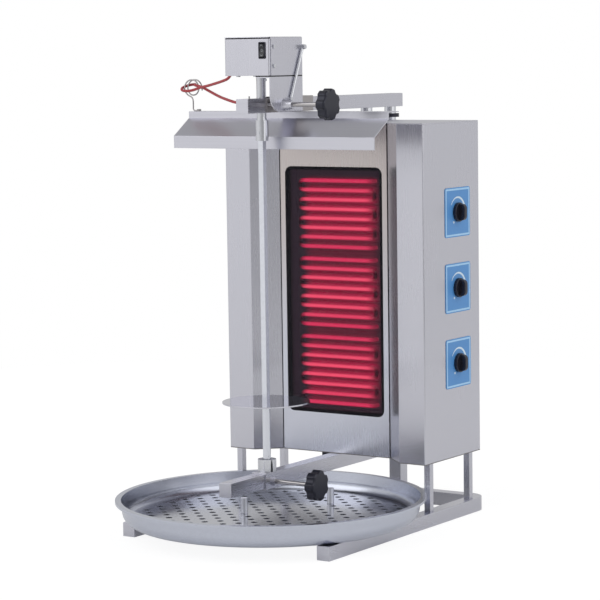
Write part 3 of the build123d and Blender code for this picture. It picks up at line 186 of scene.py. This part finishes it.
def axes(tree):
    """X, Y and Z of a place on the object."""
    place = node(tree, "ShaderNodeTexCoord").outputs["Object"]
    return node(tree, "ShaderNodeSeparateXYZ", {0: place}).outputs


def folded(tree, value, middle, pitch):
    """Place within the nearest of three equal steps round a middle."""
    lifted = maths(tree, "SUBTRACT", value, middle - 1.5 * pitch)
    return maths(tree, "SUBTRACT", maths(tree, "FLOORED_MODULO", lifted, pitch), pitch / 2)


def new_group(name, inputs, outputs):
    """New node group with its sockets, and its input and output nodes."""
    tree = bpy.data.node_groups.new(name, "ShaderNodeTree")
    for direction, sockets in (("INPUT", inputs), ("OUTPUT", outputs)):
        for socket, kind in sockets.items():
            tree.interface.new_socket(socket, in_out=direction, socket_type=kind)
    return tree, tree.nodes.new("NodeGroupInput"), tree.nodes.new("NodeGroupOutput")


NUMBER = "NodeSocketFloat"
COLOUR = "NodeSocketColor"
VECTOR = "NodeSocketVector"
SMOOTH = "SMOOTHSTEP"


def brushed_group():
    """Fine lines along one axis with soft cloudy variation."""
    tree, source, result = new_group("brushed", {"Grain": VECTOR, "Depth": NUMBER},
                                     {"Height": NUMBER, "Roughness": NUMBER, "Shade": NUMBER})
    place = node(tree, "ShaderNodeTexCoord").outputs["Object"]
    grain = {"Vector": place, "Scale": source.outputs["Grain"]}
    stretched = node(tree, "ShaderNodeMapping", grain).outputs[0]
    lines = node(tree, "ShaderNodeTexNoise", {"Vector": stretched, "Scale": 1.0, "Detail": 3.0}).outputs[0]
    lines = maths(tree, "MULTIPLY_ADD", maths(tree, "SUBTRACT", lines, 0.5), source.outputs["Depth"], 0.5)
    cloud = node(tree, "ShaderNodeTexNoise", {"Vector": place, "Scale": 6.0, "Detail": 2.0}).outputs[0]
    tree.links.new(lines, result.inputs["Height"])
    rough = maths(tree, "MULTIPLY_ADD", lines, 0.10, -0.05)
    rough = maths(tree, "MULTIPLY_ADD", cloud, 0.08, maths(tree, "SUBTRACT", rough, 0.04))
    tree.links.new(rough, result.inputs["Roughness"])
    shade = maths(tree, "MULTIPLY_ADD", lines, 0.08, 0.96)
    tree.links.new(shade, result.inputs["Shade"])
    return tree


BRUSHED = brushed_group()
GRAIN = {"x": (4, 500, 500), "y": (500, 4, 500), "z": (500, 500, 4)}
STAINLESS = (0.60, 0.60, 0.66)


def steel(name, grain, colour=STAINLESS, rough=0.27, relief=0.006, round_edge=0.0008, depth=1.0):
    """Brushed stainless steel with softened edges."""
    made, tree, shader = new_material(name)
    brush = node(tree, "ShaderNodeGroup", node_tree=BRUSHED)
    brush.inputs["Grain"].default_value = GRAIN[grain]
    brush.inputs["Depth"].default_value = depth
    tree.links.new(shaded(tree, (*colour, 1), brush.outputs["Shade"]), shader.inputs["Base Color"])
    shader.inputs["Metallic"].default_value = 1.0
    tree.links.new(maths(tree, "ADD", brush.outputs["Roughness"], rough), shader.inputs["Roughness"])
    edge = node(tree, "ShaderNodeBevel", {"Radius": round_edge}, samples=4)
    bump = node(tree, "ShaderNodeBump", {"Strength": relief, "Distance": 0.001,
                                         "Height": brush.outputs["Height"], "Normal": edge.outputs[0]})
    tree.links.new(bump.outputs[0], shader.inputs["Normal"])
    return made


def mottle_group():
    """Fine soft mottle of a moulded or cast surface."""
    tree, source, result = new_group("mottle", {"Colour": COLOUR, "Roughness": NUMBER},
                                     {"Colour": COLOUR, "Roughness": NUMBER, "Height": NUMBER})
    place = node(tree, "ShaderNodeTexCoord").outputs["Object"]
    cloud = node(tree, "ShaderNodeTexNoise", {"Vector": place, "Scale": 220.0, "Detail": 2.0}).outputs[0]
    shade = maths(tree, "MULTIPLY_ADD", cloud, 0.14, 0.90)
    tint = shaded(tree, source.outputs["Colour"], shade)
    base = maths(tree, "SUBTRACT", source.outputs["Roughness"], 0.04)
    rough = maths(tree, "MULTIPLY_ADD", cloud, 0.08, base)
    tree.links.new(tint, result.inputs["Colour"])
    tree.links.new(rough, result.inputs["Roughness"])
    tree.links.new(cloud, result.inputs["Height"])
    return tree


MOTTLE = mottle_group()


def plain(name, colour, rough, metallic=0.0, grain=0.0, sheen_tint=(1, 1, 1)):
    """Moulded, cast or painted finish with a faint mottle."""
    made, tree, shader = new_material(name)
    mottle = node(tree, "ShaderNodeGroup", node_tree=MOTTLE)
    mottle.inputs["Colour"].default_value = (*colour, 1)
    mottle.inputs["Roughness"].default_value = rough
    tree.links.new(mottle.outputs["Colour"], shader.inputs["Base Color"])
    tree.links.new(mottle.outputs["Roughness"], shader.inputs["Roughness"])
    shader.inputs["Metallic"].default_value = metallic
    shader.inputs["Specular Tint"].default_value = (*sheen_tint, 1)
    if grain:
        bump = node(tree, "ShaderNodeBump", {"Strength": grain, "Distance": 0.0005,
                                             "Height": mottle.outputs["Height"]})
        tree.links.new(bump.outputs[0], shader.inputs["Normal"])
    return made


COVER_SEEN = 0.3
COVER_BOUNCED = 0.8


def glass_material():
    """Smoked glass: clear enough to see the glow behind it, dark to light that bounces about."""
    made, tree, shader = new_material("smoked_glass")
    shader.inputs["Base Color"].default_value = (0.030, 0.028, 0.040, 1)
    shader.inputs["Roughness"].default_value = 0.07
    shader.inputs["Specular IOR Level"].default_value = 0.3
    seen = node(tree, "ShaderNodeLightPath").outputs["Is Camera Ray"]
    tree.links.new(ramp(tree, seen, 0.0, 1.0, COVER_BOUNCED, COVER_SEEN), shader.inputs["Alpha"])
    return made


ZONE_MIDDLE = 0.4123
ZONE_PITCH = 0.1458
RUN_PITCH = 0.0175
ELEMENT_R = 0.0036
HEATER_HALF = 1.5 * ZONE_PITCH
LEFT_FADE = (-0.086, -0.064)
RIGHT_FADE = (0.060, 0.089)


def heat_group():
    """Heat of a place in the heater: by zone, along the runs, and how far the nearest run's middle is."""
    tree, _, result = new_group("heat", {}, {"Zone": NUMBER, "Run": NUMBER, "Along": NUMBER})
    parts = axes(tree)
    away = maths(tree, "ABSOLUTE", folded(tree, parts["Z"], ZONE_MIDDLE, ZONE_PITCH))
    zone = ramp(tree, away, 0.015, 0.068, 1.0, 0.2, curve=SMOOTH)
    rise = maths(tree, "ABSOLUTE", maths(tree, "SUBTRACT", parts["Z"], ZONE_MIDDLE))
    inside = ramp(tree, rise, HEATER_HALF - 0.012, HEATER_HALF - 0.003, 1.0, 0.0)
    step = maths(tree, "SUBTRACT", maths(tree, "FLOORED_MODULO", away, RUN_PITCH), RUN_PITCH / 2)
    left = ramp(tree, parts["X"], *LEFT_FADE, curve=SMOOTH)
    right = ramp(tree, parts["X"], *RIGHT_FADE, 1.0, 0.0, curve=SMOOTH)
    tree.links.new(maths(tree, "MULTIPLY", zone, inside), result.inputs["Zone"])
    tree.links.new(maths(tree, "ABSOLUTE", step), result.inputs["Run"])
    tree.links.new(maths(tree, "MULTIPLY", left, right), result.inputs["Along"])
    return tree


HEAT = heat_group()


def element_material():
    """Glowing heater tube: bright along its middle, deep red at its edges, dim at its ends."""
    made, tree, shader = new_material("hot_element")
    heat = node(tree, "ShaderNodeGroup", node_tree=HEAT)
    hot = mixed(tree, heat.outputs["Zone"], (0.67, 0.022, 0.095, 1), (1.0, 0.085, 0.17, 1))
    edge = ramp(tree, heat.outputs["Run"], 0.35 * ELEMENT_R, 1.2 * ELEMENT_R)
    glow = mixed(tree, edge, hot, (0.44, 0.016, 0.061, 1))
    bend = ramp(tree, heat.outputs["Run"], 1.1 * ELEMENT_R, 1.5 * ELEMENT_R, 1.0, 0.0)
    right_end = maths(tree, "GREATER_THAN", axes(tree)["X"], 0.0)
    bend = maths(tree, "MAXIMUM", bend, maths(tree, "MULTIPLY", right_end, 0.55))
    share = maths(tree, "MULTIPLY", bend, heat.outputs["Along"])
    glow = mixed(tree, share, (0.012, 0.003, 0.006, 1), glow)
    shader.inputs["Base Color"].default_value = (0.012, 0.006, 0.008, 1)
    shader.inputs["Roughness"].default_value = 0.8
    shader.inputs["Specular IOR Level"].default_value = 0.0
    tree.links.new(glow, shader.inputs["Emission Color"])
    shader.inputs["Emission Strength"].default_value = 1.75
    return made


def insulation_material():
    """Dark fibre block with a painted red glow behind the elements, strongest close to them; the glow stands
    in for the elements' light falling on it.
    """
    made, tree, shader = new_material("fibre")
    heat = node(tree, "ShaderNodeGroup", node_tree=HEAT)
    # Painted light: emission that stands in for the heaters' red light on the block, brightest next to each
    # run.
    painted_glow_halo = ramp(tree, heat.outputs["Run"], ELEMENT_R, RUN_PITCH / 2, 1.0, 0.0, curve=SMOOTH)
    warm = mixed(tree, painted_glow_halo, (0.30, 0.006, 0.036, 1), (0.64, 0.018, 0.085, 1))
    zone = maths(tree, "POWER", heat.outputs["Zone"], 0.6)
    share = maths(tree, "MULTIPLY", heat.outputs["Along"], zone)
    glow = mixed(tree, share, (0.030, 0.017, 0.028, 1), warm)
    shader.inputs["Base Color"].default_value = (0.012, 0.011, 0.014, 1)
    shader.inputs["Roughness"].default_value = 0.9
    tree.links.new(glow, shader.inputs["Emission Color"])
    shader.inputs["Emission Strength"].default_value = 1.0
    return made


LABEL_Y = 0.214
LABEL_MIDDLE = 0.4245
LABEL_PITCH = 0.138
BORDER_REACH = 0.0415
BORDER_HALF = 0.0016
ARROW_R = 0.0270
ARROW_HALF = (0.0026, 0.0007)
ARROW_ENDS = (0.3, 2.6)
DOT_PLACE = (-0.0140, -0.0180)
DOT_R = 0.0022


def label_material():
    """Blue plate with a pale inset line, a pointer dot and an arrow that sweeps round the knob."""
    made, tree, shader = new_material("blue_label")
    parts = axes(tree)
    u = maths(tree, "SUBTRACT", parts["Y"], LABEL_Y)
    w = folded(tree, parts["Z"], LABEL_MIDDLE, LABEL_PITCH)
    reach = maths(tree, "MAXIMUM", maths(tree, "ABSOLUTE", u), maths(tree, "ABSOLUTE", w))
    border = within(tree, reach, BORDER_REACH, BORDER_HALF)
    angle = maths(tree, "ARCTAN2", w, u)
    swell = ramp(tree, angle, *ARROW_ENDS, *ARROW_HALF)
    sweep = within(tree, angle, sum(ARROW_ENDS) / 2, (ARROW_ENDS[1] - ARROW_ENDS[0]) / 2)
    arc = maths(tree, "MULTIPLY", within(tree, distance(tree, u, w), ARROW_R, swell), sweep)
    dot_u = maths(tree, "SUBTRACT", u, DOT_PLACE[0])
    dot_w = maths(tree, "SUBTRACT", w, DOT_PLACE[1])
    dot = maths(tree, "LESS_THAN", distance(tree, dot_u, dot_w), DOT_R)
    marks = maths(tree, "MAXIMUM", arc, dot)
    blue = mixed(tree, border, (0.085, 0.29, 0.65, 1), (0.40, 0.67, 0.94, 1))
    tree.links.new(mixed(tree, marks, blue, (0.66, 0.80, 0.92, 1)), shader.inputs["Base Color"])
    shader.inputs["Roughness"].default_value = 0.38
    return made


ROCKER_X = 0.0326
ROCKER_Z = 0.8596
RING_R = 0.0019
RING_HALF = 0.0005
HEAD_TIP = 0.0098
HEAD_LINE_HALF = 0.0008
HEAD_HALF = 0.0026


def rocker_material():
    """Black rocker with a ring in its middle and an arrowhead on each half for the two ways of turning."""
    made, tree, shader = new_material("rocker")
    parts = axes(tree)
    u = maths(tree, "ABSOLUTE", maths(tree, "SUBTRACT", parts["X"], ROCKER_X))
    w = maths(tree, "SUBTRACT", parts["Z"], ROCKER_Z)
    far = maths(tree, "ABSOLUTE", w)
    ring = within(tree, distance(tree, u, w), RING_R, RING_HALF)
    slopes = within(tree, maths(tree, "ADD", far, u), HEAD_TIP, HEAD_LINE_HALF)
    head = maths(tree, "MULTIPLY", slopes, within(tree, u, 0.0, HEAD_HALF))
    marks = maths(tree, "MAXIMUM", ring, head)
    black = mixed(tree, marks, (0.012, 0.013, 0.018, 1), (0.20, 0.21, 0.23, 1))
    tree.links.new(black, shader.inputs["Base Color"])
    shader.inputs["Roughness"].default_value = 0.3
    return made


GLOW_TINT_RISE = (0.25, 0.62)
PEG_FOOT = 0.037


def panel_material():
    """Brushed steel, warmer and darker towards its top: a painted reflection of the heaters' red glow and
    painted shade under the hood.
    """
    made = steel("stainless_glow_tinted", "z", colour=(0.62, 0.635, 0.715), depth=0.45)
    tree = made.node_tree
    # Painted reflection and shade: the upper panel is tinted warmer and darker, standing in for the red glow
    # it reflects and the hood's shade.
    warm = ramp(tree, axes(tree)["Z"], *GLOW_TINT_RISE, curve=SMOOTH)
    shader = tree.nodes["Principled BSDF"]
    brushed = shader.inputs["Base Color"].links[0].from_socket
    tree.links.new(mixed(tree, warm, brushed, (0.56, 0.51, 0.50, 1)), shader.inputs["Base Color"])
    return made


def plate_material():
    """Polished sheet with duller lifting pegs that stand above it, painted paler to stand in for the light on
    them.
    """
    made = steel("plate_steel", "x", colour=(0.52, 0.53, 0.585), rough=0.15, relief=0.01,
                 round_edge=0.0005)
    tree = made.node_tree
    peg = maths(tree, "GREATER_THAN", axes(tree)["Z"], PEG_FOOT)
    shader = tree.nodes["Principled BSDF"]
    sheet = shader.inputs["Base Color"].links[0].from_socket
    rough = shader.inputs["Roughness"].links[0].from_socket
    # Painted light: the pegs get a paler colour that stands in for the light they catch.
    tree.links.new(mixed(tree, peg, sheet, (0.80, 0.81, 0.86, 1)), shader.inputs["Base Color"])
    tree.links.new(maths(tree, "MULTIPLY_ADD", peg, 0.25, rough), shader.inputs["Roughness"])
    return made


SHEET_Z = steel("stainless_upright", "z", depth=0.45)
SHEET_X = steel("stainless_across", "x", rough=0.33)
TUBE_Y = steel("stainless_along", "y", depth=0.4)
BRIGHT = plain("bright_steel", (0.66, 0.67, 0.71), 0.15, metallic=1.0)
# Painted shade: a darker copy of the bright steel for the studs, screws and hook, standing in for the dark
# surroundings they reflect.
ROD = plain("shade_darkened_steel", (0.42, 0.405, 0.41), 0.16, metallic=1.0)
# Painted shade: a darker copy of the stainless for the saddle, standing in for the shade between the
# bracket's cheeks.
SHADED = steel("painted_shade_steel", "y", colour=(0.40, 0.38, 0.38), rough=0.30)
# Painted shadow: the bottom plate is near black so that its edge reads as a shade line under the cabinet.
PAINTED_SHADOW_STEEL = steel("shadowed_steel", "y", colour=(0.22, 0.21, 0.21), rough=0.35)
POLISHED = steel("polished_steel", "x", rough=0.06, relief=0.0)
BLACK = plain("black_plastic", (0.012, 0.012, 0.018), 0.30, grain=0.05, sheen_tint=(0.80, 0.82, 1.0))
RUBBER = plain("black_rubber", (0.015, 0.015, 0.015), 0.6)
RED = plain("red_rubber", (0.40, 0.038, 0.048), 0.5)
FINISH = {
    "heater_glass": glass_material(),
    "meat_disc": POLISHED,
    "perforated_plate": plate_material(),
    "saddle": SHADED,
    "drip_tray": plain("spun_steel", (0.58, 0.605, 0.69), 0.25, metallic=1.0),
    "spit": plain("spit_steel", (0.76, 0.78, 0.84), 0.2, metallic=1.0),
    "bottom_plate": PAINTED_SHADOW_STEEL,
    "heater_panel": panel_material(),
    "label_plates": label_material(),
    "motor_switch": rocker_material(),
    "motor_lead": RED,
    "motor_pad": RUBBER,
    "insulation_block": insulation_material(),
    "glass_seal": plain("seal", (0.012, 0.012, 0.014), 0.9),
    "terminal_block": plain("pale_plastic", (0.7, 0.69, 0.65), 0.5),
    "motor": plain("dark_metal", (0.05, 0.05, 0.055), 0.45),
    "gearbox": plain("cast_aluminium", (0.55, 0.55, 0.56), 0.45, metallic=1.0),
    "thrust_bearing": plain("bronze", (0.55, 0.36, 0.16), 0.35, metallic=1.0),
}
SHARED = (
    (element_material(), ("heating_element_top", "heating_element_middle", "heating_element_bottom")),
    (TUBE_Y, ("base_frame", "lower_arm", "upper_arm", "lower_sleeve")),
    (SHEET_X, ("hood", "tube_caps", "top_plate")),
    (BRIGHT, ("stay_rod", "cover_screws", "drive_shaft", "spit_coupling", "spit_cup", "arm_posts",
              "regulator_spindle_top", "regulator_spindle_middle", "regulator_spindle_bottom")),
    (ROD, ("cable_hook", "frame_screws", "upper_clamp_stud", "lower_clamp_stud")),
    (BLACK, ("upper_star_knob", "lower_star_knob", "control_knob_top", "control_knob_middle",
             "control_knob_bottom", "post_collars", "switch_frame", "cable_gland", "regulator_bodies")),
)
for finish, names in SHARED:
    FINISH.update(dict.fromkeys(names, finish))
for name, piece in NODES.items():
    piece.data.materials.clear()
    piece.data.materials.append(FINISH.get(name, SHEET_Z))
lead.data.materials.append(RED)

# Floor, world and lights
FLOOR_R = 2.4
FLOOR_POINTS = 96
FLOOR_DROP = 0.0002
FLOOR_SEEN = 0.90
FLOOR_MIRRORED = 0.14
turns = [2 * math.pi * k / FLOOR_POINTS for k in range(FLOOR_POINTS)]
rim = [(FLOOR_R * math.cos(angle), FLOOR_R * math.sin(angle), 0) for angle in turns]
floor_mesh = bpy.data.meshes.new("floor")
floor_mesh.from_pydata(rim, [], [tuple(range(FLOOR_POINTS))])
floor = bpy.data.objects.new("floor", floor_mesh)
floor.location.z = -FLOOR_DROP
bpy.context.scene.collection.objects.link(floor)
paper, tree, shader = new_material("paper")
rays = node(tree, "ShaderNodeLightPath").outputs
seen = maths(tree, "MAXIMUM", rays["Is Camera Ray"], rays["Is Transmission Ray"])
tone = mixed(tree, seen, (0.80, 0.80, 0.80, 1), (0.17, 0.17, 0.17, 1))
tree.links.new(tone, shader.inputs["Base Color"])
shader.inputs["Roughness"].default_value = 1.0
shader.inputs["Specular IOR Level"].default_value = 0.0
shader.inputs["Emission Color"].default_value = (1, 1, 1, 1)
mirrored = maths(tree, "MULTIPLY", rays["Is Glossy Ray"], FLOOR_MIRRORED)
tree.links.new(maths(tree, "MULTIPLY_ADD", seen, FLOOR_SEEN, mirrored), shader.inputs["Emission Strength"])
floor_mesh.materials.append(paper)

# Pale walls to the front left and the rear right, greyer ones between them with a dark flag on the right,
# a darker ceiling
PALE_WAY = (0.55, 0.83, 0)
GREY_WAY = (-0.83, 0.55, 0)
FLAG_WAY = (0.99, 0.14, 0)
world = bpy.data.worlds.new("studio")
bpy.context.scene.world = world
world.use_nodes = True
tree = world.node_tree
sky = tree.nodes["Background"]
way = node(tree, "ShaderNodeTexCoord").outputs["Generated"]


def towards(heading):
    """How far the looked-at side of the world lies in a heading."""
    made = node(tree, "ShaderNodeVectorMath", {0: way, 1: heading}, operation="DOT_PRODUCT")
    return made.outputs["Value"]


lobe = towards(PALE_WAY)
reach = maths(tree, "MULTIPLY_ADD", lobe, -0.07, 0.27)
pale = maths(tree, "MULTIPLY", maths(tree, "MULTIPLY", lobe, lobe), reach)
walls = maths(tree, "ADD", pale, maths(tree, "MULTIPLY_ADD", towards(GREY_WAY), 0.08, 0.53))
flag = ramp(tree, towards(FLAG_WAY), 0.88, 0.98, 1.0, 0.15, curve=SMOOTH)
walls = maths(tree, "MULTIPLY", walls, flag)
height = node(tree, "ShaderNodeSeparateXYZ", {0: way}).outputs["Z"]
ceiling = ramp(tree, height, 0.30, 0.80, 1.0, 0.80)
rays = node(tree, "ShaderNodeLightPath").outputs
seen = maths(tree, "MAXIMUM", rays["Is Camera Ray"], rays["Is Transmission Ray"])
lit = maths(tree, "MULTIPLY", walls, ceiling)
tree.links.new(maths(tree, "MAXIMUM", lit, seen), sky.inputs["Strength"])
sky.inputs["Color"].default_value = (1, 1, 1, 1)
LAMP_TARGET = (0, 0, 0.4)
LAMP_SIZE = 4.4
LAMP_POWER = 60


def lamp(name, place):
    """Square soft light aimed at the grill."""
    data = bpy.data.lights.new(name, "AREA")
    data.shape = "SQUARE"
    data.size = LAMP_SIZE
    data.energy = LAMP_POWER
    made = bpy.data.objects.new(name, data)
    made.location = place
    made.rotation_mode = "QUATERNION"
    made.rotation_quaternion = (Vector(LAMP_TARGET) - Vector(place)).to_track_quat("-Z", "Y")
    bpy.context.scene.collection.objects.link(made)


lamp("key", (-1.5, -3.0, 3.2))
lamp("fill", (3.5, 0.5, 2.2))
bpy.context.scene.view_settings.view_transform = "Standard"
